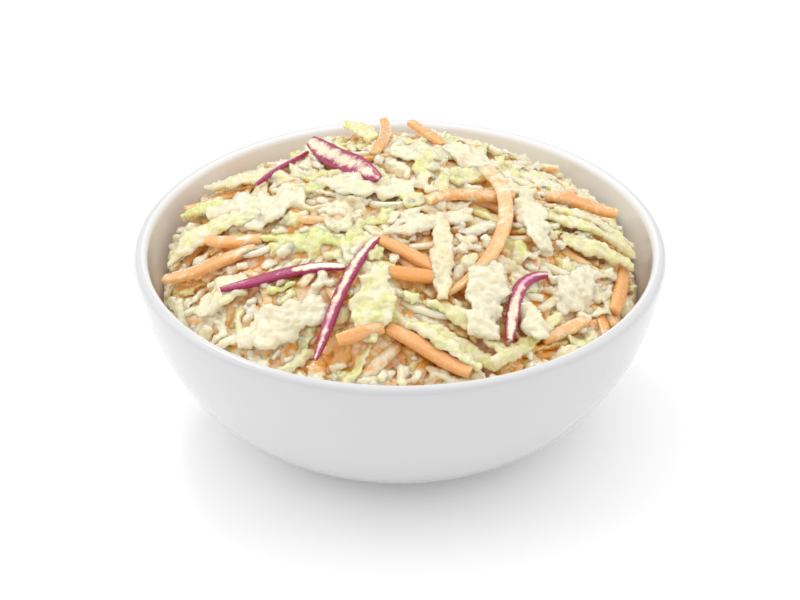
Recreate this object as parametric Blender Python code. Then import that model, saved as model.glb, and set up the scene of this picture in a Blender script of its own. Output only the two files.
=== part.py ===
"""A round white bowl heaped with coleslaw: the glazed bowl and the heap that lies in it.

Metres, +Z up. The origin is the middle of the foot ring, on the surface that the bowl stands on.
"""

import math

import bmesh
import bpy
from mathutils import Vector, noise

MM = 0.001

# Driving sizes
RIM_RADIUS = 65.0 * MM
BOWL_HEIGHT = 47.2 * MM
WALL = 3.4 * MM
FOOT_RADIUS = 30.7 * MM
FOOT_WIDTH = 3.2 * MM
FOOT_RECESS = 1.4 * MM
FLOOR_THICKNESS = 4.6 * MM
FIT_GAP = 0.3 * MM

# The heap: how far below the rim it meets the wall, how high it rises above that in the middle, and
# how much higher its back is than its middle
FILL_DROP = 10.0 * MM
HEAP_RISE = 22.8 * MM
HEAP_STEEPNESS = 2.7
HEAP_LEAN = 3.2 * MM
LUMP_SIZE = 13.0 * MM
LUMP_HEIGHT = 4.4 * MM
CALM_EDGE = 10.0 * MM

# How finely the round shapes are divided
TURN_STEPS = 64
WALL_STEPS = 13
RIM_STEPS = 7
HEAP_RINGS = 16

# Worked out from the sizes above
RIM_ROUND = WALL / 2
SHOULDER = BOWL_HEIGHT - RIM_ROUND
FILL_LEVEL = BOWL_HEIGHT - FILL_DROP


def clear_scene():
    for obj in list(bpy.data.objects):
        bpy.data.objects.remove(obj)


def bezier(corners, steps):
    """Points along a cubic curve through its four corner points, both ends included."""
    a, b, c, d = (Vector(corner) for corner in corners)
    points = []
    for i in range(steps + 1):
        t = i / steps
        s = 1 - t
        points.append(s**3 * a + 3 * s * s * t * b + 3 * s * t * t * c + t**3 * d)
    return points


def outer_wall(steps):
    """The bowl's outside as (radius, height), from the rim's shoulder down to the foot."""
    return bezier(
        (
            (RIM_RADIUS, SHOULDER),
            (RIM_RADIUS * 0.968, SHOULDER * 0.52),
            (FOOT_RADIUS * 1.62, SHOULDER * 0.127),
            (FOOT_RADIUS, 0),
        ),
        steps,
    )


def inner_wall(steps):
    """The bowl's inside as (radius, height), from the middle of its floor up to the rim's shoulder."""
    return bezier(
        (
            (0, FLOOR_THICKNESS),
            (FOOT_RADIUS * 1.42, FLOOR_THICKNESS * 1.04),
            (RIM_RADIUS * 0.915, SHOULDER * 0.5),
            (RIM_RADIUS - WALL, SHOULDER),
        ),
        steps,
    )


def rim_round(steps):
    """The half round on top of the wall, from its inner side to its outer side, ends left out."""
    middle = Vector((RIM_RADIUS - RIM_ROUND, SHOULDER))
    angles = (math.pi * (1 - i / steps) for i in range(1, steps))
    return [middle + RIM_ROUND * Vector((math.cos(a), math.sin(a))) for a in angles]


def foot_ring():
    """The flat ring that the bowl stands on and the recess inside it, to the middle."""
    ring_inside = FOOT_RADIUS - FOOT_WIDTH
    return [
        Vector((ring_inside, 0)),
        Vector((ring_inside - FOOT_RECESS / 2, FOOT_RECESS)),
        Vector((0, FOOT_RECESS)),
    ]


def turned(profile, name, material):
    """A solid of revolution about Z. The profile starts and ends on the axis."""
    mesh = bmesh.new()
    verts = [mesh.verts.new((point.x, 0, point.y)) for point in profile]
    edges = [mesh.edges.new(pair) for pair in zip(verts, verts[1:])]
    bmesh.ops.spin(
        mesh,
        geom=verts + edges,
        cent=(0, 0, 0),
        axis=(0, 0, 1),
        angle=math.tau,
        steps=TURN_STEPS,
        use_merge=True,
    )
    bmesh.ops.remove_doubles(mesh, verts=mesh.verts[:], dist=0.01 * MM)
    bmesh.ops.recalc_face_normals(mesh, faces=mesh.faces[:])
    data = bpy.data.meshes.new(name)
    mesh.to_mesh(data)
    mesh.free()
    data.materials.append(material)
    obj = bpy.data.objects.new(name, data)
    bpy.context.scene.collection.objects.link(obj)
    return obj


def finish_material(name, colour, roughness):
    material = bpy.data.materials.new(name)
    material.use_nodes = True
    shader = material.node_tree.nodes["Principled BSDF"]
    shader.inputs["Base Color"].default_value = (*colour, 1)
    shader.inputs["Roughness"].default_value = roughness
    shader.inputs["Metallic"].default_value = 0
    return material


def smooth(obj, crease_degrees):
    obj.data.shade_smooth()
    obj.data.set_sharp_from_angle(angle=math.radians(crease_degrees))


def make_bowl():
    profile = (
        inner_wall(WALL_STEPS)
        + rim_round(RIM_STEPS)
        + outer_wall(WALL_STEPS)
        + foot_ring()
    )
    bowl = turned(profile, "bowl", finish_material("white glaze", (0.86, 0.86, 0.86), 0.12))
    smooth(bowl, 35)
    return bowl


def heap_height(radius, edge_radius):
    """The mound without its lumps: level at the top, steeper towards the wall."""
    share = min(radius / edge_radius, 1)
    return FILL_LEVEL + HEAP_RISE * (1 - share**HEAP_STEEPNESS)


def lump(x, y):
    """How far clumps of shreds stand above or below the mound, in metres."""
    place = Vector((x, y, 0)) / LUMP_SIZE
    broad = noise.noise(place)
    fine = noise.noise(place * 2.1 + Vector((5.3, 1.7, 0)))
    return LUMP_HEIGHT * (broad + 0.5 * fine)


def wall_side_of_heap():
    """The heap's underside: the bowl's inside, drawn in by the fit gap, up to the fill level."""
    wall = inner_wall(WALL_STEPS)
    points = []
    for before, point, after in zip([wall[0]] + wall, wall, wall[1:] + [wall[-1]]):
        along = (after - before).normalized()
        inward = Vector((-along.y, along.x))
        moved = point + FIT_GAP * inward
        points.append(Vector((max(moved.x, 0), moved.y)))
    below = [point for point in points if point.y < FILL_LEVEL]
    last, above = below[-1], points[len(below)]
    share = (FILL_LEVEL - last.y) / (above.y - last.y)
    points = below + [last.lerp(above, share)]
    points[0].x = 0
    return points


def make_coleslaw():
    underside = wall_side_of_heap()
    edge_radius = underside[-1].x
    top = []
    for i in range(1, HEAP_RINGS + 1):
        radius = edge_radius * (1 - i / HEAP_RINGS)
        top.append(Vector((radius, heap_height(radius, edge_radius))))
    slaw = turned(
        underside + top,
        "coleslaw",
        finish_material("dressed cabbage", (0.88, 0.84, 0.62), 0.4),
    )
    for vertex in slaw.data.vertices:
        radius = math.hypot(vertex.co.x, vertex.co.y)
        if vertex.co.z > FILL_LEVEL + 0.01 * MM:
            calm = min((edge_radius - radius) / CALM_EDGE, 1)
            lean = HEAP_LEAN * vertex.co.y / edge_radius
            vertex.co.z += calm * (lean + lump(vertex.co.x, vertex.co.y))
    slaw.data.update()
    smooth(slaw, 60)
    return slaw


def main():
    clear_scene()
    bowl = make_bowl()
    slaw = make_coleslaw()
    slaw.parent = bowl


main()
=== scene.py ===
"""A glazed bowl heaped with coleslaw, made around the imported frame.

The strips of cabbage, carrot and red cabbage are laid one after another on a height map of the heap, so
that each one rests on those below it and bridges the gaps between them.
"""

import math
from functools import partial

import bmesh
import bpy
import numpy as np
from mathutils import Matrix, Vector, kdtree, noise
from mathutils.bvhtree import BVHTree


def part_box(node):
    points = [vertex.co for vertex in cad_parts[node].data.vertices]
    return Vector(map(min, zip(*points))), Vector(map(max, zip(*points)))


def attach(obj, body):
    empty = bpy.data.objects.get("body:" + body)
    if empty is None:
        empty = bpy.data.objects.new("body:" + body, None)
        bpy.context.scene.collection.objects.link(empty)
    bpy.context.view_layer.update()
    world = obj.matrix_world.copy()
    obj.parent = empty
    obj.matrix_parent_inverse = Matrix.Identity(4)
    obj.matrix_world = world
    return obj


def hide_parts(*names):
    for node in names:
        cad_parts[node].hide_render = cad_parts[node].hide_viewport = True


bl_info = {
    "name": "Coleslaw Bowl",
    "version": (1, 0, 0),
    "blender": (4, 5, 0),
    "location": "3D View > Sidebar > Coleslaw",
    "description": "Makes a glazed bowl heaped with dressed strips of cabbage, carrot and red cabbage",
    "category": "Object",
}

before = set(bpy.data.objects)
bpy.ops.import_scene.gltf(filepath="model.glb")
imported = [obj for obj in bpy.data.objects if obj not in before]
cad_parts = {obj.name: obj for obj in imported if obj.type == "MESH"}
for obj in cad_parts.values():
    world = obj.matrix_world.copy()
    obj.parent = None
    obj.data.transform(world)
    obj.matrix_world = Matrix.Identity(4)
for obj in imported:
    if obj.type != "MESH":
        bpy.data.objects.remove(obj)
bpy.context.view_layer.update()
BOWL_HIGH = Vector(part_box("bowl")[1])
HEAP_HIGH = Vector(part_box("coleslaw")[1])

MM = 0.001
RIM_RADIUS = BOWL_HIGH.x
BOWL_HEIGHT = BOWL_HIGH.z
HEAP_RADIUS = HEAP_HIGH.x
FILL_LEVEL = BOWL_HEIGHT - 10 * MM
FIT_GAP = 0.3 * MM


# ---------------- settings


def length_setting(name, description, default_mm):
    return bpy.props.FloatProperty(
        name=name,
        description=description,
        default=default_mm * MM,
        min=0,
        precision=5,
        subtype="DISTANCE",
        unit="LENGTH",
    )


def colour_setting(name, description, red, green, blue):
    return bpy.props.FloatVectorProperty(
        name=name,
        description=description,
        default=everyday_colour(red, green, blue),
        size=4,
        min=0,
        max=1,
        subtype="COLOR",
    )


def linear(value):
    """The shader's value for an everyday one from 0 to 255, by the sRGB curve."""
    share = value / 255
    return share / 12.92 if share <= 0.04045 else ((share + 0.055) / 1.055) ** 2.4


def everyday_colour(red, green, blue):
    return [linear(red), linear(green), linear(blue), 1]


class BowlSettings(bpy.types.PropertyGroup):
    wall: length_setting("Wall", "Thickness of the wall at the rim", 3.4)
    foot_radius: length_setting("Foot radius", "Outer radius of the foot ring", 30.7)
    foot_width: length_setting("Foot width", "Width of the foot ring's flat", 3.2)
    foot_recess: length_setting("Foot recess", "Depth of the hollow inside the foot ring", 1.4)
    floor: length_setting("Floor", "Height of the inside's lowest point", 4.6)
    # Painted light and shade: one white glaze, painted greyer on the outer wall and lighter on the inner wall
    glaze: colour_setting("Glaze", "Colour of the glaze outside", 219, 219, 220)
    glaze_inside_painted_light: colour_setting("Inner glaze", "Colour of the glaze inside", 238, 239, 240)


class SlawSettings(bpy.types.PropertyGroup):
    core_gap: length_setting("Core gap", "How far the soaked core lies below the top strips", 1.5)
    seed: bpy.props.IntProperty(name="Seed", description="Which random heap is laid", default=7)
    core_depth: length_setting("Core depth", "How far the core lies below the heap's outline", 6.5)
    strips: bpy.props.IntProperty(name="Strips", description="How many strips are tried", default=4600)
    crumbs: bpy.props.IntProperty(name="Crumbs", description="How many small bits are tried", default=330)
    voxel: length_setting("Film fineness", "Grid on which dressed cabbage is joined", 0.58)
    lumps: length_setting("Lumps", "Height of the dressing's soft lumps", 0.65)
    dressing: colour_setting("Dressing", "Colour of the dressing", 255, 237, 205)
    pale: colour_setting("Pale cabbage", "Colour of the heart's strips", 255, 230, 182)
    green: colour_setting("Green cabbage", "Colour of the leaves' strips", 247, 239, 180)
    carrot: colour_setting("Carrot", "Colour of the carrot", 255, 170, 88)
    red: colour_setting("Red cabbage", "Colour of the red cabbage's skin", 168, 0, 86)
    # Painted shade: a warm orange that is mixed in deep between the strips and over the core
    crevice_painted_shade: colour_setting("Crevice", "Colour deep between the strips", 255, 176, 60)


class StageSettings(bpy.types.PropertyGroup):
    elevation: bpy.props.FloatProperty(
        name="Elevation",
        description="How far the camera looks down",
        default=math.radians(32.23),
        subtype="ANGLE",
        unit="ROTATION",
    )
    distance: length_setting("Distance", "From the camera to the middle of the bowl", 700)
    aim_height: length_setting("Aim height", "Height of the point that the camera looks at", 25)


# ---------------- shared mesh tools


def new_piece(name, mesh, material):
    """An object for a finished mesh, with its finish and smooth shading."""
    mesh.name = name
    mesh.materials.clear()
    mesh.materials.append(material)
    mesh.shade_smooth()
    piece = bpy.data.objects.new(name, mesh)
    bpy.context.scene.collection.objects.link(piece)
    return piece


def places_of(mesh):
    flat = np.empty(len(mesh.vertices) * 3, dtype=np.float32)
    mesh.vertices.foreach_get("co", flat)
    return flat.reshape(-1, 3)


def move_to(mesh, places):
    mesh.vertices.foreach_set("co", np.ascontiguousarray(places, dtype=np.float32).ravel())
    mesh.update()


def normals_of(mesh):
    flat = np.empty(len(mesh.vertices) * 3, dtype=np.float32)
    mesh.vertex_normals.foreach_get("vector", flat)
    return flat.reshape(-1, 3)


def put_attribute(mesh, name, values):
    attribute = mesh.attributes.get(name) or mesh.attributes.new(name, "FLOAT", "POINT")
    attribute.data.foreach_set("value", np.ascontiguousarray(values, dtype=np.float32))


def get_attribute(mesh, name):
    values = np.empty(len(mesh.vertices), dtype=np.float32)
    mesh.attributes[name].data.foreach_get("value", values)
    return values


def with_modifiers(mesh, *settings):
    """The mesh after the given modifiers, each a kind and its settings."""
    carrier = bpy.data.objects.new("carrier", mesh)
    bpy.context.scene.collection.objects.link(carrier)
    for kind, values in settings:
        modifier = carrier.modifiers.new(kind.title(), kind)
        for key, value in values.items():
            setattr(modifier, key, value)
    shaped = carrier.evaluated_get(bpy.context.evaluated_depsgraph_get())
    result = bpy.data.meshes.new_from_object(shaped)
    bpy.data.objects.remove(carrier)
    bpy.data.meshes.remove(mesh)
    return result


def finished_mesh(build, name):
    mesh = bpy.data.meshes.new(name)
    build.to_mesh(mesh)
    build.free()
    return mesh


def joined(meshes):
    """One mesh from several, by way of one bmesh."""
    build = bmesh.new()
    for mesh in meshes:
        build.from_mesh(mesh)
    return finished_mesh(build, "joined")


def curve_points(corners, steps):
    """Points along a cubic curve through its four corner points, both ends included."""
    a, b, c, d = (Vector(corner) for corner in corners)
    points = []
    for i in range(steps + 1):
        t = i / steps
        s = 1 - t
        points.append(s**3 * a + 3 * s * s * t * b + 3 * s * t * t * c + t**3 * d)
    return points


# ---------------- bowl

BOWL_TURNS = 192
WALL_STEPS = 34
RIM_STEPS = 12


def inner_wall(bowl, steps):
    """The bowl's inside as (radius, height), from the middle of its floor up to the rim's shoulder."""
    shoulder = BOWL_HEIGHT - bowl.wall / 2
    corners = (
        (0, bowl.floor),
        (bowl.foot_radius * 1.42, bowl.floor * 1.04),
        (RIM_RADIUS * 0.915, shoulder * 0.5),
        (RIM_RADIUS - bowl.wall, shoulder),
    )
    return curve_points(corners, steps)


def bowl_profile(bowl):
    shoulder = BOWL_HEIGHT - bowl.wall / 2
    outside = (
        (RIM_RADIUS, shoulder),
        (RIM_RADIUS * 0.968, shoulder * 0.52),
        (bowl.foot_radius * 1.62, shoulder * 0.127),
        (bowl.foot_radius, 0),
    )
    middle = Vector((RIM_RADIUS - bowl.wall / 2, shoulder))
    angles = [math.pi * (1 - i / RIM_STEPS) for i in range(1, RIM_STEPS)]
    rim = [middle + bowl.wall / 2 * Vector((math.cos(a), math.sin(a))) for a in angles]
    ring_inside = bowl.foot_radius - bowl.foot_width
    foot = [
        Vector((ring_inside, 0)),
        Vector((ring_inside - bowl.foot_recess / 2, bowl.foot_recess)),
        Vector((0, bowl.foot_recess)),
    ]
    return inner_wall(bowl, WALL_STEPS) + rim + curve_points(outside, WALL_STEPS) + foot


def turned(profile, turns, name):
    """A solid of revolution about Z. The profile starts and ends on the axis."""
    build = bmesh.new()
    verts = [build.verts.new((point.x, 0, point.y)) for point in profile]
    edges = [build.edges.new(pair) for pair in zip(verts, verts[1:])]
    bmesh.ops.spin(
        build,
        geom=verts + edges,
        cent=(0, 0, 0),
        axis=(0, 0, 1),
        angle=math.tau,
        steps=turns,
        use_merge=True,
    )
    bmesh.ops.remove_doubles(build, verts=build.verts[:], dist=0.005 * MM)
    bmesh.ops.recalc_face_normals(build, faces=build.faces[:])
    return finished_mesh(build, name)


# ---------------- heap

CELL = 0.5 * MM


class HeightMap:
    """Heights on a square grid over the bowl, read and raised at points given in metres."""

    def __init__(self, half_width):
        self.half = half_width
        self.count = int(math.ceil(2 * half_width / CELL)) + 1
        self.z = np.zeros((self.count, self.count))

    def cells(self, x, y):
        i = np.clip(np.rint((x + self.half) / CELL).astype(int), 0, self.count - 1)
        j = np.clip(np.rint((y + self.half) / CELL).astype(int), 0, self.count - 1)
        return i, j

    def read(self, x, y):
        return self.z[self.cells(x, y)]

    def lift(self, x, y, z):
        np.maximum.at(self.z, self.cells(x, y), z)

    def copy(self):
        other = HeightMap(self.half)
        other.z = self.z.copy()
        return other

    def softened(self, reach):
        """A copy averaged over squares of the given half width, twice."""
        other = self.copy()
        span = max(int(reach / CELL), 1)
        kernel = np.ones(2 * span + 1) / (2 * span + 1)
        for _ in range(2):
            for axis in (0, 1):
                other.z = np.apply_along_axis(np.convolve, axis, other.z, kernel, mode="same")
        return other


def heap_outline():
    """Height map of the heap's outline, read from the CAD heap by rays from above."""
    outline = HeightMap(HEAP_RADIUS)
    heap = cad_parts["coleslaw"].data
    surface = BVHTree.FromPolygons(
        [vertex.co for vertex in heap.vertices], [face.vertices[:] for face in heap.polygons]
    )
    down = Vector((0, 0, -1))
    start = HEAP_HIGH.z + 10 * MM
    outline.z[:] = FILL_LEVEL
    for i in range(outline.count):
        x = i * CELL - outline.half
        for j in range(outline.count):
            y = j * CELL - outline.half
            if math.hypot(x, y) > HEAP_RADIUS - FIT_GAP:
                continue
            place = surface.ray_cast(Vector((x, y, start)), down)[0]
            if place:
                outline.z[i, j] = place.z
    return outline


# ---------------- strips

LAY_POINTS = 28
PRESS_REACH = 2.5 * MM
MOST_SLOPE = 0.9
ACROSS = np.array([-0.45, -0.2, 0.0, 0.2, 0.45])


class Strip:
    """One strip of vegetable: its route in plan, its section and how it lies."""

    def __init__(self, kind, route, width, thick, **more):
        self.kind = kind
        self.route = route
        self.width = width
        self.thick = thick
        self.roll = more.get("roll", (0.0, 0.0))
        self.taper = more.get("taper", (0.5, 0.5))
        self.frill = more.get("frill", 0.0)
        self.limp = more.get("limp", 25.0)
        self.lift = more.get("lift", (0.0,))
        self.give = more.get("give", 0.2)
        self.stiff = more.get("stiff", 6 * MM if kind in ("carrot", "red") else 0.0)
        self.tint = more.get("tint", 0.5)
        self.film = np.broadcast_to(more.get("film", 0.5), 2)
        self.ragged = more.get("ragged", 0.12 if kind in ("pale", "green", "leaf") else 0.0)
        self.clean_edges = 0.8 if kind == "red" else 0.0
        self.heights = None
        self.slope = 0.0

    def along(self):
        steps = np.linalg.norm(np.diff(self.route, axis=0), axis=1)
        return np.concatenate(([0], np.cumsum(steps)))

    def side(self):
        ahead = np.gradient(self.route, axis=0)
        ahead /= np.linalg.norm(ahead, axis=1, keepdims=True) + 1e-9
        return np.stack((-ahead[:, 1], ahead[:, 0]), axis=1)

    def rolls(self):
        """How far it is turned about its own length: with the slope it lies on, and by itself."""
        return self.slope + np.linspace(*self.roll, len(self.route))

    def keep_inside(self, limit):
        """Moves the route inwards until none of it crosses the bowl's wall."""
        for _ in range(4):
            reach = np.linalg.norm(self.route, axis=1) + self.width * 0.4
            worst = int(reach.argmax())
            over = reach[worst] - limit
            if over <= 0:
                return
            outward = self.route[worst] / np.linalg.norm(self.route[worst])
            self.route = self.route - outward * over

    def lay(self, heap):
        """Finds the height of its middle line where it rests on the heap, and gives its top."""
        reach = ACROSS * self.width
        side = self.side()
        x = self.route[:, 0, None] + side[:, 0, None] * reach
        y = self.route[:, 1, None] + side[:, 1, None] * reach
        below = heap.read(x, y)
        ground = below.mean(axis=1)
        along = self.along()
        gap = along[:, None] - along[None, :]
        bridge = (ground[None, :] - self.limp * gap**2).max(axis=1)
        closeness = np.exp(-((gap / PRESS_REACH) ** 2))
        closeness /= closeness.sum(axis=1, keepdims=True)
        rest = bridge + self.give * (closeness @ ground - bridge)
        slope = np.arctan2(below[:, -1] - below[:, 0], reach[-1] - reach[0])
        self.slope = np.clip(closeness @ slope, -MOST_SLOPE, MOST_SLOPE)
        share = np.linspace(0, 1, len(along))
        lifts = np.interp(share, np.linspace(0, 1, len(self.lift)), self.lift)
        tilt = np.abs(np.sin(np.linspace(*self.roll, len(along)))) * self.width / 2
        if self.stiff:
            even = np.exp(-((gap / self.stiff) ** 2))
            rest = (even / even.sum(axis=1, keepdims=True)) @ rest
            self.slope = np.full(len(along), self.slope.mean())
        self.heights = rest + self.thick * 0.45 + tilt * 0.6 + lifts
        return self.heights + self.thick / 2 + tilt * 0.6

    def press(self, heap):
        """Raises the heap where the strip now lies."""
        share = np.linspace(0, 1, int(self.along()[-1] / (CELL * 0.8)) + 2)
        coarse = np.linspace(0, 1, len(self.route))
        side = self.side()
        columns = (self.route[:, 0], self.route[:, 1], self.heights, self.rolls(), side[:, 0], side[:, 1])
        x, y, z, roll, side_x, side_y = (np.interp(share, coarse, column) for column in columns)
        for across in np.linspace(-0.95, 0.95, 9):
            out = across * self.width / 2 * np.cos(roll)
            up = across * self.width / 2 * np.sin(roll) + self.thick / 2 * math.sqrt(1 - across**2)
            heap.lift(x + side_x * out, y + side_y * out, z + up)


def plan_route(rng, length, bend, wave):
    """A curved line in plan about its own middle, heading along +X there."""
    s = np.linspace(-0.5, 0.5, LAY_POINTS)
    heading = bend * s * 2 + wave * np.sin(s * rng.uniform(6, 12) + rng.uniform(0, 6))
    step = length / (LAY_POINTS - 1)
    x = np.cumsum(np.cos(heading)) * step
    y = np.cumsum(np.sin(heading)) * step
    route = np.stack((x, y), axis=1)
    return route - route.mean(axis=0)


def turned_route(route, angle, x, y):
    cos, sin = math.cos(angle), math.sin(angle)
    return np.stack(
        (route[:, 0] * cos - route[:, 1] * sin + x, route[:, 0] * sin + route[:, 1] * cos + y), axis=1
    )


def arc_route(middle, heading, length, bend=0, curl=0):
    """An arc in plan about its middle, in millimetres and degrees; curl turns only its first part."""
    share = np.linspace(0, 1, LAY_POINTS)
    angles = np.radians(heading + bend * (share - 0.5) + curl * (1 - share) ** 4)
    step = length * MM / (LAY_POINTS - 1)
    route = np.cumsum(np.stack((np.cos(angles), np.sin(angles)), axis=1), axis=0) * step
    return route - route[LAY_POINTS // 2] + np.array(middle) * MM


# How each kind is cut. A pair is a span that is drawn from, a single number is always the same.
# Lengths, widths and thicknesses are in millimetres.
CUTS = {
    "pale": dict(
        length=(10, 25), width=(3.0, 5.6), thick=(1.3, 2.1), taper=((0.3, 0.9), (0.3, 0.9)),
        frill=(0.1, 0.6), bend=0.5, wave=(0, 0.35), limp=(25, 60), film=(0.45, 0.9),
    ),
    "chopped": dict(
        length=(4, 9), width=(2.6, 4.8), thick=(1.5, 2.6), taper=((0.5, 0.9), (0.5, 0.9)),
        frill=(0.3, 0.8), bend=0.6, wave=(0, 0.4), limp=(30, 60), film=(0.5, 1.0),
    ),
    "leaf": dict(
        length=(6, 13), width=(3.4, 6.0), thick=(1.0, 1.5), taper=((0.3, 0.8), (0.3, 0.8)),
        frill=(0.6, 1.4), bend=0.45, wave=(0, 0.3), limp=(30, 60), film=(0.3, 0.85),
    ),
    "green": dict(
        length=(13, 30), width=(2.6, 4.6), thick=(1.2, 1.8), taper=((0.2, 0.8), (0.2, 0.8)),
        frill=(0.1, 0.5), bend=0.45, wave=(0, 0.3), limp=(20, 50), film=(0.3, 0.8),
    ),
    "carrot": dict(
        length=(10, 26), width=(2.4, 3.8), thick=(1.5, 2.1), taper=(0.85, 0.8),
        frill=0.05, bend=0.5, wave=0.05, limp=(10, 20), film=(0.4, 0.85),
    ),
}
ROLL_SPREAD = 0.35
TWIST_SPREAD = 0.5
ON_EDGE_SHARE = 0.12
ON_EDGE_ROLL = 1.1


def drawn(rng, span):
    return rng.uniform(*span) if isinstance(span, tuple) else span


def random_strip(kind, rng):
    """A strip of the given kind with the uneven sizes that a knife or grater gives."""
    cut = CUTS[kind]
    length, width, thick = (drawn(rng, cut[name]) for name in ("length", "width", "thick"))
    taper = tuple(drawn(rng, span) for span in cut["taper"])
    frill = drawn(rng, cut["frill"])
    bend = rng.normal(0, cut["bend"])
    wave, limp, film = (drawn(rng, cut[name]) for name in ("wave", "limp", "film"))
    roll = rng.normal(0, ROLL_SPREAD)
    if rng.random() < ON_EDGE_SHARE:
        roll += ON_EDGE_ROLL
    return Strip(
        kind,
        plan_route(rng, length * MM, bend, wave),
        width * MM,
        thick * MM,
        roll=(roll, roll + rng.normal(0, TWIST_SPREAD)),
        limp=limp,
        give=0.65,
        tint=rng.random(),
        film=film,
        taper=taper,
        frill=frill,
    )


def crumb(rng):
    """A small bit of cabbage, thick with dressing."""
    length, width, thick = rng.uniform(2.2, 5.0), rng.uniform(1.7, 3.2), rng.uniform(1.2, 2.0)
    return Strip(
        "chopped",
        plan_route(rng, length * MM, rng.normal(0, 0.6), 0.2),
        width * MM,
        thick * MM,
        taper=(0.6, 0.6),
        limp=60,
        give=0.7,
        tint=rng.random(),
        film=rng.uniform(0.6, 1.0),
    )


def lay_all(strips, heap):
    """Lays strips whose places are settled, one on another."""
    for strip in strips:
        strip.keep_inside(HEAP_RADIUS - FIT_GAP)
        strip.lay(heap)
        strip.press(heap)


# How far strips may stand above the outline, and crumbs above that
PROUD = 1.1 * MM
CRUMB_PROUD = 0.5 * MM
STRIP_TRIES = 7
CRUMB_TRIES = 4
RADIAL_SHARE = 0.6


def scatter_crumbs(heap, limit, settings, rng):
    """Drops crumbs all over, each into the lowest of a few places."""
    laid = []
    for _ in range(settings.crumbs):
        bit = crumb(rng)
        plan = bit.route
        places = []
        for _ in range(CRUMB_TRIES):
            radius = (HEAP_RADIUS - 2 * MM) * math.sqrt(rng.random())
            around = rng.uniform(0, math.tau)
            bit.route = turned_route(plan, around, radius * math.cos(around), radius * math.sin(around))
            excess = (bit.lay(heap) - limit.read(bit.route[:, 0], bit.route[:, 1])).mean()
            places.append((excess, bit.route, bit.heights, bit.slope))
        excess, bit.route, bit.heights, bit.slope = min(places, key=lambda place: place[0])
        if excess < PROUD + CRUMB_PROUD:
            bit.press(heap)
            laid.append(bit)
    return laid


LOW_PART = 0.6
CARROT_LOW_SHARE = 0.28
CARROT_TOP_SHARE = 0.17
CABBAGE_SHARES = (("green", 0.17), ("leaf", 0.16), ("pale", 0.26))


def kind_for(progress, rng):
    """Which vegetable comes next: more carrot low in the heap, mostly cabbage on its top."""
    draw = rng.random()
    reached = CARROT_LOW_SHARE if progress < LOW_PART else CARROT_TOP_SHARE
    if draw < reached:
        return "carrot"
    for kind, share in CABBAGE_SHARES:
        reached += share
        if draw < reached:
            return kind
    return "chopped"


def scatter_strips(heap, outline, settings, rng):
    """Lays random strips, each at the lowest of a few places, until the heap has its outline."""
    laid = []
    for number in range(settings.strips):
        kind = kind_for(number / settings.strips, rng)
        model = random_strip(kind, rng)
        plan = model.route
        best = None
        for _ in range(STRIP_TRIES):
            radius = HEAP_RADIUS * math.sqrt(rng.random())
            around = rng.uniform(0, math.tau)
            x, y = radius * math.cos(around), radius * math.sin(around)
            if rng.random() < RADIAL_SHARE:
                heading = around + rng.normal(0, 0.5)
            else:
                heading = rng.uniform(0, math.tau)
            model.route = turned_route(plan, heading, x, y)
            model.keep_inside(HEAP_RADIUS)
            tops = model.lay(heap)
            excess = (tops - outline.read(model.route[:, 0], model.route[:, 1])).mean()
            if best is None or excess < best[0]:
                best = (excess, model.route, model.heights, model.slope)
        if best[0] > PROUD:
            continue
        model.route, model.heights, model.slope = best[1:]
        model.press(heap)
        laid.append(model)
    return laid


def top_strip(kind, middle, heading, length, width, thick, bend=0, curl=0, **more):
    """A strip that lies in plain sight. Sizes are in millimetres, angles in degrees from +X."""
    more.setdefault("limp", 25)
    more.setdefault("give", 0.5)
    if kind == "carrot":
        more.setdefault("taper", (0.8, 0.8))
    route = arc_route(middle, heading, length, bend, curl)
    return Strip(kind, route, width * MM, thick * MM, **more)


pale_strip = partial(top_strip, "pale")
leaf_strip = partial(top_strip, "leaf")
green_strip = partial(top_strip, "green")
carrot_strip = partial(top_strip, "carrot")
red_strip = partial(top_strip, "red")
pale_clump = partial(pale_strip, frill=0.5, ragged=0.3, limp=40)
leaf_clump = partial(leaf_strip, frill=0.55, ragged=0.3, limp=40)


def broad_clumps():
    """Torn leaf and clotted strips that lie in wide ruffled patches."""
    return [
        leaf_clump((6, 20), 20, 17, 9.5, 1.9, bend=20, film=0.75),
        pale_clump((18, 22), -20, 15, 8.5, 2.0, film=0.85),
        leaf_clump((-8, 4), -10, 24, 9.0, 2.0, bend=25, film=0.85),
        pale_clump((-32, 0), 10, 19, 10.0, 2.1, film=0.9),
        pale_clump((-27, -38), 15, 22, 10.5, 2.2, bend=20, film=0.95),
        leaf_clump((-6, -37), 80, 19, 9.5, 2.0, film=0.6),
        leaf_clump((-48, -28), 35, 15, 8.5, 1.9, film=0.7, frill=0.5),
        pale_clump((42, -22), 60, 18, 8.5, 2.0, film=0.95),
        leaf_clump((38, 16), -35, 18, 8.0, 1.8, film=0.8, frill=0.5),
    ]


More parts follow.
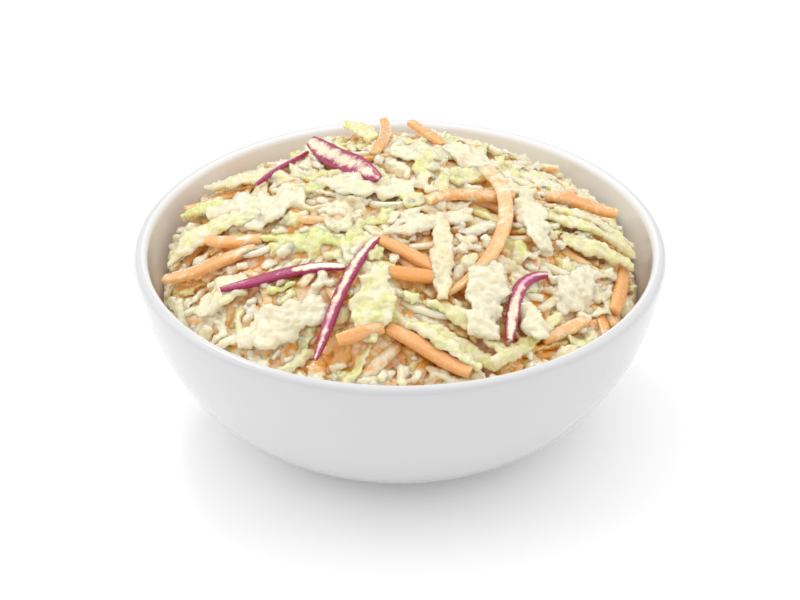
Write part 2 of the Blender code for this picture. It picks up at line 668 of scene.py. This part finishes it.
def top_carrots():
    return [
        # tips over the back rim
        carrot_strip((7, 33), -60, 16, 2.8, 1.7, lift=(1.0 * MM, 0.4 * MM, 0), taper=(0.9, 0.6), film=0.4),
        carrot_strip((-4, 30), -95, 26, 2.8, 1.7, bend=-25, lift=(1.4 * MM, 0.5 * MM, 0.3 * MM), film=0.4),
        # right
        carrot_strip((17, 1), 20, 23, 3.3, 1.8, bend=-35, film=0.5, tint=0.4),
        carrot_strip((45, 10), 5, 18, 3.1, 1.8, bend=-10, film=0.4),
        carrot_strip((53, -16), -100, 19, 3.4, 2.0, bend=-10, film=0.3),
        carrot_strip((39, -35), 40, 14, 3.2, 2.0, bend=10, film=0.5, tint=0.6),
        # left
        carrot_strip((-48, -15), 0, 23, 3.4, 1.8, bend=55, film=0.45),
        carrot_strip((-40, -9), -15, 14, 3.2, 1.8, bend=40, film=0.45),
        # middle and front
        carrot_strip((2, -23), -30, 18, 3.4, 1.8, bend=-20, film=0.3),
        carrot_strip((3, -30), -5, 11, 3.4, 2.0, film=0.2, tint=0.1),
        carrot_strip((-9, -45), 15, 11, 3.4, 2.0, film=0.35),
        carrot_strip((7, -48), -30, 22, 3.6, 2.1, film=0.35),
    ]


def curved_carrot():
    """The long carrot strip that bows across the right half, from near the top down to the front."""
    bow = dict(bend=-80, roll=(0.15, 0.45), taper=(0.95, 0.5), lift=(1.0 * MM, 0.8 * MM, 0.4 * MM, 0))
    return [carrot_strip((24.5, -13), -100, 54, 3.6, 1.8, film=(0.55, 0.35), tint=0.8, **bow)]


def cabbage_below():
    """Cabbage that the curved carrot crosses."""
    return [
        pale_strip((7, -12), 25, 24, 4.4, 1.6, film=0.85),
        pale_strip((20, -11), 30, 13, 3.6, 1.5, bend=30, film=0.85),
    ]


def cabbage_above():
    """Cabbage that lies over the carrots."""
    spindle = dict(taper=(0.25, 0.45), film=0.5, tint=0.1, frill=0.05)
    white = dict(film=1.0, limp=34)
    return [
        # front
        green_strip((13, -45), -20, 24, 4.4, 1.8, bend=-35, film=0.6),
        green_strip((16, -41), -30, 20, 4.6, 1.8, bend=-20, film=0.55),
        green_strip((12, -48), -30, 16, 4.2, 1.7, bend=-10, film=0.65),
        green_strip((30, -41), 50, 26, 4.2, 1.9, bend=5, taper=(0.9, 0.6), film=0.55),
        # right
        green_strip((48, -2), 0, 23, 4.8, 1.9, bend=10, film=0.6),
        green_strip((48, 4), 0, 20, 4.4, 1.8, film=0.65),
        green_strip((49, -9), 5, 18, 4.6, 1.8, film=0.55),
        pale_strip((32, -6), -80, 22, 8.0, 2.0, bend=15, film=0.9, limp=32, frill=0.5, ragged=0.25),
        # left
        green_strip((-49, -2), 10, 24, 6.4, 1.8, bend=-50, taper=(0.35, 0.5), film=0.6),
        green_strip((-51, 14), -30, 17, 4.4, 1.5, bend=10, taper=(0.3, 0.5), film=0.3, tint=0.9),
        green_strip((-42, 23), -35, 26, 5.0, 1.7, bend=15, taper=(0.3, 0.5), film=0.65),
        pale_strip((-40, 6), -5, 15, 6.0, 2.0, bend=40, film=0.85, frill=0.7),
        # back
        green_strip((-10, 38), -65, 18, 5.2, 1.6, taper=(0.45, 0.7), lift=(2.6 * MM, 1.2 * MM, 0), film=0.5),
        pale_strip((20, 34), -35, 14, 5.0, 1.7, film=0.6),
        # spindle and white clumps beside the curved carrot
        pale_strip((10, -24), -90, 28, 5.6, 1.9, **spindle),
        pale_strip((20, -35), -100, 22, 9.5, 2.4, bend=20, taper=(0.35, 0.7), frill=0.6, ragged=0.3, **white),
        pale_strip((31, -38), -65, 10, 6.0, 2.2, frill=0.9, **white),
    ]


def top_reds():
    """Red cabbage. Its tint says how pale its flesh is, and its film runs from one end to the other."""
    broad = dict(taper=(0.5, 0.4), film=(0.85, 0.7), tint=0.3, roll=(0.6, 0.5))
    return [
        red_strip((-29, 20), 55, 21, 1.8, 1.2, film=(0.2, 0.5), tint=0.3),
        red_strip((-14, 16), -55, 30, 5.6, 1.2, bend=10, **broad),
        red_strip((-27, -24), 0, 30, 3.0, 1.3, bend=-30, taper=(0.4, 0.5), film=(0.0, 0.95), tint=0.0),
        red_strip((-14, -35), -115, 34, 3.0, 1.4, bend=20, taper=(0.6, 0.3), film=(0.8, 0.6), tint=0.45),
        red_strip((27, -33), -100, 26, 3.2, 1.5, bend=10, curl=-80, film=(0.5, 0.9), tint=0.5),
    ]


def hero_strips():
    """The strips that lie on top of the crumbs, in plain sight, lowest first."""
    return top_carrots() + cabbage_below() + curved_carrot() + cabbage_above() + top_reds()


# ---------------- meshes of the strips


def strip_template(sides, steps):
    """A rod one long along Z and one across, with rings of points to bend it by."""
    build = bmesh.new()
    bmesh.ops.create_cone(
        build, cap_ends=True, cap_tris=False, segments=sides, radius1=0.5, radius2=0.5, depth=1
    )
    turn = math.pi / sides
    bmesh.ops.rotate(build, verts=build.verts[:], cent=(0, 0, 0), matrix=Matrix.Rotation(turn, 3, "Z"))
    lengthwise = [edge for edge in build.edges if abs(edge.verts[0].co.z - edge.verts[1].co.z) > 0.5]
    bmesh.ops.subdivide_edges(build, edges=lengthwise, cuts=steps - 1, use_grid_fill=True)
    return finished_mesh(build, "rod")


def strips_mesh(strips, sides, steps, squareness):
    """All the strips as one mesh: rods from an array, each bent along its strip's route."""
    rods = with_modifiers(
        strip_template(sides, steps),
        ("ARRAY", dict(count=len(strips), use_relative_offset=False, use_merge_vertices=False)),
    )
    template = places_of(rods)
    each = len(template) // len(strips)
    s = template[:each, 2] + 0.5
    a = template[:each, 0] * 2
    b = template[:each, 1] * 2
    swell = np.maximum(np.abs(a), np.abs(b)) ** squareness
    a, b = a / swell, b / swell
    places = np.empty((len(strips), each, 3))
    facts = {name: np.empty((len(strips), each)) for name in ("along", "across", "tint", "film")}
    for number, strip in enumerate(strips):
        places[number] = bent_rod(strip, s, a, b)
        facts["along"][number] = s
        facts["across"][number] = a
        facts["tint"][number] = strip.tint
        facts["film"][number] = np.interp(s, (0.25, 0.75), strip.film) * (1 - strip.clean_edges * a**2)
    move_to(rods, places.reshape(-1, 3))
    for name, values in facts.items():
        put_attribute(rods, name, values.ravel())
    return rods


RAGGED_PITCH = 2.3 * MM
FRILL_PITCH = 0.75 * MM
TAPER_SHARE = 0.3


def bent_rod(strip, s, a, b):
    """Where a rod's points go when it follows its strip's route."""
    coarse = np.linspace(0, 1, len(strip.route))
    middle = np.column_stack((strip.route, strip.heights))
    ahead = np.gradient(middle, axis=0)
    ahead /= np.linalg.norm(ahead, axis=1, keepdims=True)
    side = np.column_stack((strip.side(), np.zeros(len(coarse))))
    above = np.cross(ahead, side)

    def at(values):
        return np.column_stack([np.interp(s, coarse, values[:, k]) for k in range(3)])

    rolls = np.interp(s, coarse, strip.rolls())
    turns = s * strip.along()[-1] / RAGGED_PITCH + strip.tint * 9
    uneven = np.sin(turns) * 0.6 + np.sin(turns * 2.3 + np.sign(a) * 1.7) * 0.4
    profile = end_profile(s, strip.taper) * (1 + strip.ragged * uneven)
    ruffle = np.sin(s * strip.along()[-1] / FRILL_PITCH + strip.tint * 40)
    wave = strip.frill * MM * ruffle * np.abs(a) ** 1.5
    out = a * profile * strip.width / 2
    up = b * np.sqrt(profile) * strip.thick / 2 + wave
    cos, sin = np.cos(rolls), np.sin(rolls)
    shift_side = (out * cos - up * sin)[:, None]
    shift_above = (out * sin + up * cos)[:, None]
    return at(middle) + at(side) * shift_side + at(above) * shift_above


def end_profile(s, taper):
    """Width along a strip as a share of its full width, narrower towards both ends."""
    start = taper[0] + (1 - taper[0]) * np.clip(s / TAPER_SHARE, 0, 1) ** 0.7
    end = taper[1] + (1 - taper[1]) * np.clip((1 - s) / TAPER_SHARE, 0, 1) ** 0.7
    return np.minimum(start, end)


def dressed(mesh, voxel, lumps):
    """Joins strips under one coat of dressing and gives the coat its soft lumps."""
    source = places_of(mesh)
    facts = {name: get_attribute(mesh, name) for name in ("along", "across", "tint", "film")}
    tree = kdtree.KDTree(len(source))
    for index, place in enumerate(source):
        tree.insert(place, index)
    tree.balance()
    coat = with_modifiers(
        mesh,
        ("REMESH", dict(mode="VOXEL", voxel_size=voxel, adaptivity=0)),
        ("SMOOTH", dict(factor=0.5, iterations=1)),
    )
    places = places_of(coat)
    nearest = np.array([tree.find(place)[1] for place in places])
    for name, values in facts.items():
        put_attribute(coat, name, values[nearest])
    move_to(coat, places + normals_of(coat) * lump_heights(places, lumps)[:, None])
    return coat


BROAD_LUMP = 2.4 * MM
SMALL_LUMP = 0.95 * MM


def lump_heights(places, lumps):
    """How far the coat stands out at each place: broad soft lumps with small ones on them."""
    broad = places / BROAD_LUMP
    small = places / SMALL_LUMP
    return np.array(
        [
            lumps * (noise.noise(Vector(one)) + 0.8 * noise.noise(Vector(two)))
            for one, two in zip(broad, small)
        ]
    )


# Depth below the heap's top that sets the painted crevice shade
PAINTED_SHADE_DEPTH = 5 * MM


def shade_depth(mesh, surface):
    """Stores how deep each point lies below the heap's softened top, from 0 to 1, which sets the painted
    crevice shade.
    """
    places = places_of(mesh)
    below = surface.read(places[:, 0], places[:, 1]) - places[:, 2]
    put_attribute(mesh, "depth", np.clip(below / PAINTED_SHADE_DEPTH, 0, 1))


# ---------------- materials


def new_material(name):
    material = bpy.data.materials.new(name)
    material.use_nodes = True
    return material, material.node_tree, material.node_tree.nodes["Principled BSDF"]


def attribute_at(tree, name):
    """A value that the mesh carries at each point."""
    node = tree.nodes.new("ShaderNodeAttribute")
    node.attribute_name = name
    return node.outputs["Fac"]


def object_place(tree):
    return tree.nodes.new("ShaderNodeTexCoord").outputs["Object"]


def scaled(tree, value, factor):
    return combined(tree, "MULTIPLY", value, factor)


def noise_at(tree, coordinates, scale, detail=3.0, roughness=0.5):
    texture = tree.nodes.new("ShaderNodeTexNoise")
    texture.inputs["Scale"].default_value = scale
    texture.inputs["Detail"].default_value = detail
    texture.inputs["Roughness"].default_value = roughness
    tree.links.new(coordinates, texture.inputs["Vector"])
    return texture.outputs["Fac"]


def remapped(tree, value, low, high, to_low=0.0, to_high=1.0):
    node = tree.nodes.new("ShaderNodeMapRange")
    node.interpolation_type = "SMOOTHSTEP"
    for name, number in zip(("From Min", "From Max", "To Min", "To Max"), (low, high, to_low, to_high)):
        node.inputs[name].default_value = number
    tree.links.new(value, node.inputs["Value"])
    return node.outputs["Result"]


def combined(tree, operation, first, second):
    node = tree.nodes.new("ShaderNodeMath")
    node.operation = operation
    for socket, value in zip(node.inputs, (first, second)):
        if isinstance(value, (int, float)):
            socket.default_value = value
        else:
            tree.links.new(value, socket)
    return node.outputs[0]


def mixed(tree, share, first, second):
    """A colour between two others, each a socket or a plain colour."""
    node = tree.nodes.new("ShaderNodeMix")
    node.data_type = "RGBA"
    for socket, value in ((node.inputs[0], share), (node.inputs[6], first), (node.inputs[7], second)):
        if isinstance(value, bpy.types.NodeSocket):
            tree.links.new(value, socket)
        else:
            socket.default_value = value
    return node.outputs[2]


def film_group():
    """Dressing over a vegetable: where it lies thick or has slipped off, and how it stands out, with a
    painted shade of warm orange deep between the strips.
    """
    found = bpy.data.node_groups.get("Dressing film")
    if found:
        return found
    tree = bpy.data.node_groups.new("Dressing film", "ShaderNodeTree")
    sockets = (
        ("Bare Colour", "INPUT", "NodeSocketColor"),
        ("Film Colour", "INPUT", "NodeSocketColor"),
        ("Crevice Painted Shade", "INPUT", "NodeSocketColor"),
        ("Cover", "INPUT", "NodeSocketFloat"),
        ("Depth", "INPUT", "NodeSocketFloat"),
        ("Colour", "OUTPUT", "NodeSocketColor"),
        ("Roughness", "OUTPUT", "NodeSocketFloat"),
        ("Height", "OUTPUT", "NodeSocketFloat"),
    )
    for name, direction, kind in sockets:
        tree.interface.new_socket(name, in_out=direction, socket_type=kind)
    entry = tree.nodes.new("NodeGroupInput")
    leave = tree.nodes.new("NodeGroupOutput")
    place = object_place(tree)
    broad = noise_at(tree, place, 420, detail=2)
    fine = noise_at(tree, place, 1100, detail=4, roughness=0.65)
    patches = combined(tree, "ADD", broad, scaled(tree, fine, 0.45))
    level = combined(tree, "ADD", patches, entry.outputs["Cover"])
    cover = remapped(tree, level, 1.02, 1.42)
    colour = mixed(tree, cover, entry.outputs["Bare Colour"], entry.outputs["Film Colour"])
    # Painted shade: the colour turns to the crevice colour where the point lies deep below the heap's top
    deep = remapped(tree, entry.outputs["Depth"], 0.1, 0.65, 0.0, 0.9)
    tree.links.new(mixed(tree, deep, colour, entry.outputs["Crevice Painted Shade"]), leave.inputs["Colour"])
    tree.links.new(remapped(tree, fine, 0.3, 0.7, 0.16, 0.34), leave.inputs["Roughness"])
    height = combined(tree, "ADD", scaled(tree, cover, 0.6), fine)
    tree.links.new(height, leave.inputs["Height"])
    return tree


RELIEF = 0.6 * MM
LIGHT_REACH = 2.0 * MM
LIGHT_REACH_BY_COLOUR = (1.0, 0.9, 0.72)
WET_COAT = 0.7
WET_COAT_ROUGHNESS = 0.1


def add_relief(tree, height, distance, shader, strength=1.0):
    """Fine relief on a surface, by its normals."""
    relief = tree.nodes.new("ShaderNodeBump")
    relief.inputs["Strength"].default_value = strength
    relief.inputs["Distance"].default_value = distance
    tree.links.new(height, relief.inputs["Height"])
    tree.links.new(relief.outputs["Normal"], shader.inputs["Normal"])


def vegetable_material(name, bare, slaw, cover_span, bump, subsurface):
    """A dressed vegetable: bare(tree) gives the colour of its clean surface."""
    material, tree, shader = new_material(name)
    film = tree.nodes.new("ShaderNodeGroup")
    film.node_tree = film_group()
    film.inputs["Film Colour"].default_value = slaw.dressing
    # Painted shade: the crevice colour that is mixed in deep between the strips
    film.inputs["Crevice Painted Shade"].default_value = slaw.crevice_painted_shade
    tree.links.new(bare(tree), film.inputs["Bare Colour"])
    cover = attribute_at(tree, "film")
    tree.links.new(remapped(tree, cover, 0, 1, *cover_span), film.inputs["Cover"])
    depth = attribute_at(tree, "depth")
    tree.links.new(depth, film.inputs["Depth"])
    add_relief(tree, film.outputs["Height"], RELIEF, shader, bump)
    tree.links.new(film.outputs["Colour"], shader.inputs["Base Color"])
    tree.links.new(film.outputs["Roughness"], shader.inputs["Roughness"])
    shader.inputs["Subsurface Weight"].default_value = subsurface
    shader.inputs["Subsurface Radius"].default_value = LIGHT_REACH_BY_COLOUR
    shader.inputs["Subsurface Scale"].default_value = LIGHT_REACH
    shader.inputs["Coat Weight"].default_value = WET_COAT
    shader.inputs["Coat Roughness"].default_value = WET_COAT_ROUGHNESS
    return material


def cabbage_colour(main, other):
    """Clean cabbage: its own colour with veins and patches of a second one, by strip and place."""

    def bare(tree):
        place = object_place(tree)
        tint = attribute_at(tree, "tint")
        patch = noise_at(tree, place, 130, detail=2)
        share = combined(tree, "ADD", scaled(tree, tint, 0.5), patch)
        return mixed(tree, remapped(tree, share, 0.5, 1.0), main, other)

    return bare


def carrot_colour(main, light):
    """Clean carrot: deep orange with paler fibres that run along the strip."""

    def bare(tree):
        place = object_place(tree)
        across = attribute_at(tree, "across")
        wander = noise_at(tree, place, 300, detail=2)
        fibres = scaled(tree, combined(tree, "ADD", across, wander), 9)
        wave = combined(tree, "SINE", fibres, 0)
        tint = attribute_at(tree, "tint")
        share = combined(tree, "ADD", scaled(tree, tint, 0.8), scaled(tree, wave, 0.08))
        return mixed(tree, remapped(tree, share, 0.0, 1.2), main, light)

    return bare


def red_colour(skin, flesh):
    """Clean red cabbage: dark skin along the edges and paler flesh in the middle."""

    def bare(tree):
        place = object_place(tree)
        across = attribute_at(tree, "across")
        tint = attribute_at(tree, "tint")
        edge = combined(tree, "ABSOLUTE", across, 0)
        ragged = combined(tree, "ADD", edge, scaled(tree, noise_at(tree, place, 700), 0.7))
        skin_share = combined(tree, "ADD", ragged, combined(tree, "SUBTRACT", 0.6, tint))
        return mixed(tree, remapped(tree, skin_share, 0.5, 0.95), flesh, skin)

    return bare


GLAZE_CLOUD = 0.975


def glaze_material(bowl):
    material, tree, shader = new_material("white glaze")
    place = object_place(tree)
    clouds = noise_at(tree, place, 35, detail=2)
    inside = attribute_at(tree, "inside")
    # Painted light and shade: the inner wall gets the lighter glaze colour and the outer wall the greyer one
    body = mixed(tree, inside, bowl.glaze, bowl.glaze_inside_painted_light)
    clouded = [value * GLAZE_CLOUD for value in bowl.glaze[:3]] + [1]
    shade = mixed(tree, inside, clouded, bowl.glaze_inside_painted_light)
    tree.links.new(mixed(tree, clouds, body, shade), shader.inputs["Base Color"])
    specks = noise_at(tree, place, 260)
    tree.links.new(remapped(tree, specks, 0.3, 0.7, 0.09, 0.15), shader.inputs["Roughness"])
    add_relief(tree, noise_at(tree, place, 120, detail=2), 0.1 * MM, shader, strength=0.06)
    return material


def core_material(slaw):
    material, tree, shader = new_material("soaked core")
    place = object_place(tree)
    patches = noise_at(tree, place, 520)
    share = remapped(tree, patches, 0.35, 0.6)
    # Partly painted shade: the dressing is real, and the orange patches are the painted crevice shade of the
    # gaps
    tree.links.new(mixed(tree, share, slaw.crevice_painted_shade, slaw.dressing), shader.inputs["Base Color"])
    tree.links.new(remapped(tree, patches, 0.3, 0.7, 0.3, 0.5), shader.inputs["Roughness"])
    add_relief(tree, noise_at(tree, place, 700), RELIEF, shader)
    return material


# ---------------- operators


class COLESLAW_OT_bowl(bpy.types.Operator):
    """Turn the glazed bowl"""

    bl_idname = "coleslaw.bowl"
    bl_label = "Bowl"

    def execute(self, context):
        bowl = context.scene.coleslaw_bowl
        mesh = turned(bowl_profile(bowl), BOWL_TURNS, "glazed_bowl")
        places = places_of(mesh)
        above_floor = places[:, 2] > bowl.floor - 0.1 * MM
        facing_out = (normals_of(mesh)[:, :2] * places[:, :2]).sum(axis=1)
        put_attribute(mesh, "inside", (above_floor & (facing_out <= 0)).astype(float))
        piece = new_piece("glazed_bowl", mesh, glaze_material(bowl))
        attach(piece, "root")
        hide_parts("bowl")
        return {"FINISHED"}


CORE_TURNS = 240
CORE_RINGS = 80
CORE_EDGE_DROP = 3 * MM
CORE_LUMPS = 0.9 * MM


def core_under(surface, bowl, slaw):
    """The soaked mass under the strips: the bowl's inside below, the softened heap above."""
    level = FILL_LEVEL - CORE_EDGE_DROP
    under = [Vector((p.x * 0.985, p.y + 0.4 * MM)) for p in inner_wall(bowl, WALL_STEPS) if p.y < level]
    under[0].x = 0
    edge = under[-1].x
    rings = [Vector((edge * (1 - i / CORE_RINGS), level + 1 * MM)) for i in range(1, CORE_RINGS + 1)]
    mesh = turned(under + rings, CORE_TURNS, "slaw_core")
    places = places_of(mesh)
    top = places[:, 2] > level + 0.5 * MM
    ground = surface.read(places[:, 0], places[:, 1]) - slaw.core_gap
    ground = ground + lump_heights(places, CORE_LUMPS)
    places[top, 2] = np.maximum(ground, level)[top]
    move_to(mesh, places)
    return mesh


KINDS = {
    "pale": "pale_cabbage",
    "chopped": "chopped_cabbage",
    "leaf": "leaf_cabbage",
    "green": "green_cabbage",
    "carrot": "carrot_strips",
    "red": "red_cabbage",
}


def kind_material(kind, slaw):
    """The finish of one kind: name, clean colour, span of the film's cover, bump and subsurface."""
    heart = cabbage_colour(slaw.pale, everyday_colour(255, 218, 166))
    leaf = cabbage_colour(slaw.green, everyday_colour(228, 231, 150))
    carrot = carrot_colour(slaw.carrot, everyday_colour(255, 206, 150))
    red = red_colour(slaw.red, everyday_colour(232, 170, 200))
    name, bare, cover_span, bump, subsurface = {
        "pale": ("heart cabbage", heart, (0.2, 0.75), 0.32, 0.9),
        "chopped": ("chopped cabbage", heart, (0.2, 0.75), 0.32, 0.9),
        "leaf": ("leaf cabbage", leaf, (0.1, 0.7), 0.32, 0.9),
        "green": ("green cabbage", leaf, (0.1, 0.7), 0.32, 0.9),
        "carrot": ("carrot", carrot, (0.0, 0.85), 0.25, 0.9),
        "red": ("red cabbage", red, (0.0, 0.8), 0.4, 0.1),
    }[kind]
    return vegetable_material(name, bare, slaw, cover_span, bump, subsurface)


DRESSED_SIDES = 10
DRESSED_STEPS = {"pale": 30, "chopped": 12, "leaf": 24, "green": 32}
DRESSED_SQUARENESS = 0.2
FIRM_SQUARENESS = 0.9
FIRM_SIDES, FIRM_STEPS = 8, 14
FINE_SIDES, FINE_STEPS = 16, 60
EDGE_RAISE = 1.6 * MM
EDGE_START = 48 * MM
EDGE_WIDTH = 8 * MM
SEEN_DEPTH = 4.0 * MM


def scatter_limit(outline):
    """How high the heap may be filled: its softened outline, a little fuller near the wall."""
    limit = outline.softened(3 * MM)
    steps = np.linspace(-limit.half, limit.half, limit.count)
    radii = np.hypot(steps[:, None], steps[None, :])
    limit.z += EDGE_RAISE * np.clip((radii - EDGE_START) / EDGE_WIDTH, 0, 1)
    return limit


class COLESLAW_OT_heap(bpy.types.Operator):
    """Lay the strips of cabbage, carrot and red cabbage, over a core of soaked ones"""

    bl_idname = "coleslaw.heap"
    bl_label = "Heap"

    def execute(self, context):
        slaw = context.scene.coleslaw_slaw
        rng = np.random.default_rng(slaw.seed)
        outline = heap_outline()
        heap = outline.copy()
        heap.z = heap.z - slaw.core_depth
        limit = scatter_limit(outline)
        strips = scatter_strips(heap, limit, slaw, rng)
        clumps = broad_clumps()
        lay_all(clumps, heap)
        strips += clumps + scatter_crumbs(heap, limit, slaw, rng)
        bed = heap.softened(1.2 * MM)
        self.make_core(core_under(bed, context.scene.coleslaw_bowl, slaw), slaw)
        heroes = hero_strips()
        lay_all(heroes, heap)
        surface = heap.softened(2 * MM)
        for kind, name in KINDS.items():
            self.make_kind(kind, name, strips, heroes, surface, slaw)
        return {"FINISHED"}

    def make_core(self, mesh, slaw):
        piece = new_piece("slaw_core", mesh, core_material(slaw))
        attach(piece, "root")
        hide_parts("coleslaw")

    def make_kind(self, kind, name, strips, heroes, surface, slaw):
        common = [strip for strip in strips if strip.kind == kind and near_top(strip, surface)]
        chosen = [strip for strip in heroes if strip.kind == kind]
        if kind in DRESSED_STEPS:
            steps = DRESSED_STEPS[kind]
            rods = strips_mesh(common + chosen, DRESSED_SIDES, steps, DRESSED_SQUARENESS)
            mesh = dressed(rods, slaw.voxel, slaw.lumps)
        else:
            parts = [strips_mesh(chosen, FINE_SIDES, FINE_STEPS, FIRM_SQUARENESS)]
            if common:
                parts.insert(0, strips_mesh(common, FIRM_SIDES, FIRM_STEPS, FIRM_SQUARENESS))
            mesh = joined(parts)
        shade_depth(mesh, surface)
        piece = new_piece(name, mesh, kind_material(kind, slaw))
        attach(piece, "root")
        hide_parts("coleslaw")


def near_top(strip, surface):
    tops = surface.read(strip.route[:, 0], strip.route[:, 1])
    return bool((strip.heights > tops - SEEN_DEPTH).any())


# Name, place in metres, width and height in metres, and power in watts
SOFTBOXES = (
    ("top_softbox", (0.0, 0.25, 1.1), (1.5, 1.3), 3.4),
    ("glint_softbox", (-0.3, 0.55, 0.85), (0.16, 0.16), 1.3),
    ("left_softbox", (-1.0, 0.1, 0.55), (0.9, 0.9), 2.2),
    ("right_softbox", (1.0, 0.2, 0.6), (0.9, 0.9), 1.6),
)
LIT_POINT = Vector((0, 0, 0.03))
FLOOR_HALF = 1.0
FLOOR_GLOW = 0.11
SENSOR_WIDTH = 36
LENS = 126.7
FRAMING_SHIFT = 0.0253
HORIZON_GLOW = (0.5, 0.5, 0.502, 1)
OVERHEAD_GLOW = (0.91, 0.91, 0.915, 1)
WHITE = (1, 1, 1, 1)


def add_softbox(name, place, size, power):
    light = bpy.data.lights.new(name, "AREA")
    light.shape = "RECTANGLE"
    light.size, light.size_y = size
    light.energy = power
    lamp = bpy.data.objects.new(name, light)
    lamp.location = place
    lamp.rotation_euler = (LIT_POINT - Vector(place)).to_track_quat("-Z", "Y").to_euler()
    bpy.context.scene.collection.objects.link(lamp)


class COLESLAW_OT_stage(bpy.types.Operator):
    """Set up the floor, the lights and the camera"""

    bl_idname = "coleslaw.stage"
    bl_label = "Stage"

    def execute(self, context):
        stage = context.scene.coleslaw_stage
        self.add_floor()
        self.add_surroundings(context)
        for name, place, size, power in SOFTBOXES:
            add_softbox(name, place, size, power)
        self.add_camera(context, stage)
        context.scene.view_settings.view_transform = "Standard"
        return {"FINISHED"}

    def add_floor(self):
        build = bmesh.new()
        bmesh.ops.create_grid(build, x_segments=1, y_segments=1, size=FLOOR_HALF)
        mesh = finished_mesh(build, "floor")
        material, _, shader = new_material("white sweep")
        shader.inputs["Base Color"].default_value = (0.95, 0.95, 0.95, 1)
        shader.inputs["Roughness"].default_value = 0.9
        shader.inputs["Specular IOR Level"].default_value = 0.1
        shader.inputs["Emission Strength"].default_value = FLOOR_GLOW
        shader.inputs["Emission Color"].default_value = WHITE
        new_piece("floor", mesh, material)

    def add_surroundings(self, context):
        world = bpy.data.worlds.new("pale studio")
        world.use_nodes = True
        context.scene.world = world
        tree = world.node_tree
        background = tree.nodes["Background"]
        direction = tree.nodes.new("ShaderNodeTexCoord").outputs["Generated"]
        split = tree.nodes.new("ShaderNodeSeparateXYZ")
        tree.links.new(direction, split.inputs["Vector"])
        height = remapped(tree, split.outputs["Z"], 0.1, 0.75)
        glow = mixed(tree, height, HORIZON_GLOW, OVERHEAD_GLOW)
        seen = tree.nodes.new("ShaderNodeLightPath").outputs["Is Camera Ray"]
        tree.links.new(mixed(tree, seen, glow, WHITE), background.inputs["Color"])

    def add_camera(self, context, stage):
        camera = bpy.data.cameras.new("camera")
        camera.sensor_width = SENSOR_WIDTH
        camera.lens = LENS
        camera.shift_y = FRAMING_SHIFT
        camera.clip_start = 0.01
        viewer = bpy.data.objects.new("camera", camera)
        back = stage.distance * math.cos(stage.elevation)
        rise = stage.distance * math.sin(stage.elevation)
        viewer.location = (0, -back, stage.aim_height + rise)
        viewer.rotation_euler = (math.pi / 2 - stage.elevation, 0, 0)
        context.scene.collection.objects.link(viewer)
        context.scene.camera = viewer


class COLESLAW_PT_panel(bpy.types.Panel):
    """Lists the steps that make the bowl of coleslaw"""

    bl_idname = "COLESLAW_PT_panel"
    bl_label = "Coleslaw"
    bl_space_type = "VIEW_3D"
    bl_region_type = "UI"
    bl_category = "Coleslaw"

    def draw(self, context):
        for name, settings in (
            ("coleslaw.bowl", context.scene.coleslaw_bowl),
            ("coleslaw.heap", context.scene.coleslaw_slaw),
            ("coleslaw.stage", context.scene.coleslaw_stage),
        ):
            box = self.layout.box()
            box.operator(name)
            for key in settings.__annotations__:
                box.prop(settings, key)


CLASSES = (
    BowlSettings,
    SlawSettings,
    StageSettings,
    COLESLAW_OT_bowl,
    COLESLAW_OT_heap,
    COLESLAW_OT_stage,
    COLESLAW_PT_panel,
)


def register():
    for kind in CLASSES:
        bpy.utils.register_class(kind)
    bpy.types.Scene.coleslaw_bowl = bpy.props.PointerProperty(type=BowlSettings)
    bpy.types.Scene.coleslaw_slaw = bpy.props.PointerProperty(type=SlawSettings)
    bpy.types.Scene.coleslaw_stage = bpy.props.PointerProperty(type=StageSettings)


def unregister():
    del bpy.types.Scene.coleslaw_stage
    del bpy.types.Scene.coleslaw_slaw
    del bpy.types.Scene.coleslaw_bowl
    for kind in reversed(CLASSES):
        bpy.utils.unregister_class(kind)


def main():
    register()
    bpy.ops.coleslaw.bowl()
    bpy.ops.coleslaw.heap()
    bpy.ops.coleslaw.stage()
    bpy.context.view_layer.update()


if __name__ == "__main__":
    main()
